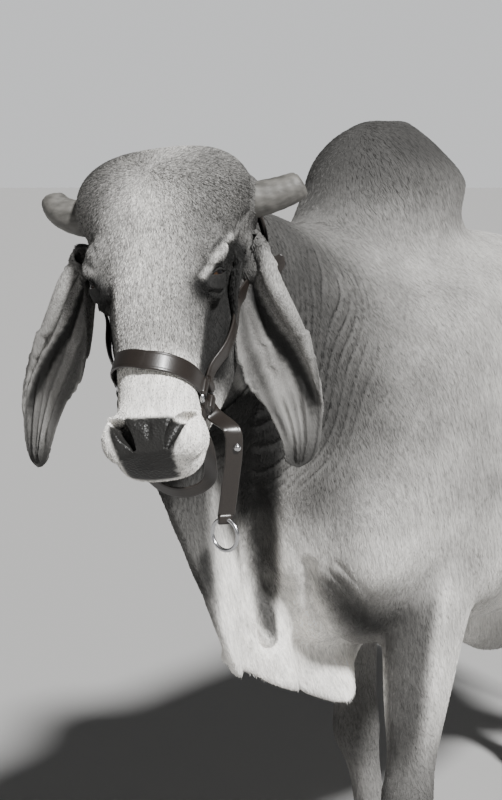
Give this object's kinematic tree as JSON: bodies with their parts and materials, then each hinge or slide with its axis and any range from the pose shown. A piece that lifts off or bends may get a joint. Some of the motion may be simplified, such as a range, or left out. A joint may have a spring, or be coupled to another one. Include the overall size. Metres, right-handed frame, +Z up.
{
  "type": "brahman bull",
  "caption": "Life-size standing humped bull with long drooping ears, short horns and a deep dewlap, its head turned to its left, in a leather halter.",
  "frame": {"origin": "the middle of the bounding box, on the floor", "axes": "+Z up, the body faces -Y, and its left side is +X"},
  "size_m": [0.666, 2.409, 1.6985],
  "materials": {
    "coat_dark": "short dark grey coat",
    "coat_grey": "short light grey coat",
    "coat_pale": "short near-white coat",
    "eye": "wet dark brown",
    "hoof": "dark horn of the hooves",
    "horn": "worn grey horn",
    "leather": "dark oiled strap leather",
    "steel": "plated steel"
  },
  "bodies": {
    "root": {"cheek_strap_left": "leather", "cheek_strap_right": "leather", "chin_strap": "leather", "claw_fore_left_inner": "hoof", "claw_fore_left_outer": "hoof", "claw_fore_right_inner": "hoof", "claw_fore_right_outer": "hoof", "claw_hind_left_inner": "hoof", "claw_hind_left_outer": "hoof", "claw_hind_right_inner": "hoof", "claw_hind_right_outer": "hoof", "crown_strap": "leather", "dewlap": "coat_pale", "ear_left": "coat_grey", "ear_right": "coat_grey", "eye_left": "eye", "eye_right": "eye", "foreleg_left": "coat_grey", "foreleg_right": "coat_grey", "hanging_strap": "leather", "head": "coat_grey", "hindleg_left": "coat_grey", "hindleg_right": "coat_grey", "horn_left": "horn", "horn_right": "horn", "hump": "coat_dark", "lead_ring": "steel", "neck": "coat_grey", "noseband": "leather", "scrotum": "coat_dark", "sheath": "coat_grey", "side_ring_left": "steel", "side_ring_right": "steel", "strap_stud": "steel", "tail": "coat_grey", "tail_switch": "coat_dark", "torso": "coat_grey"}
  },
  "joints": []
}
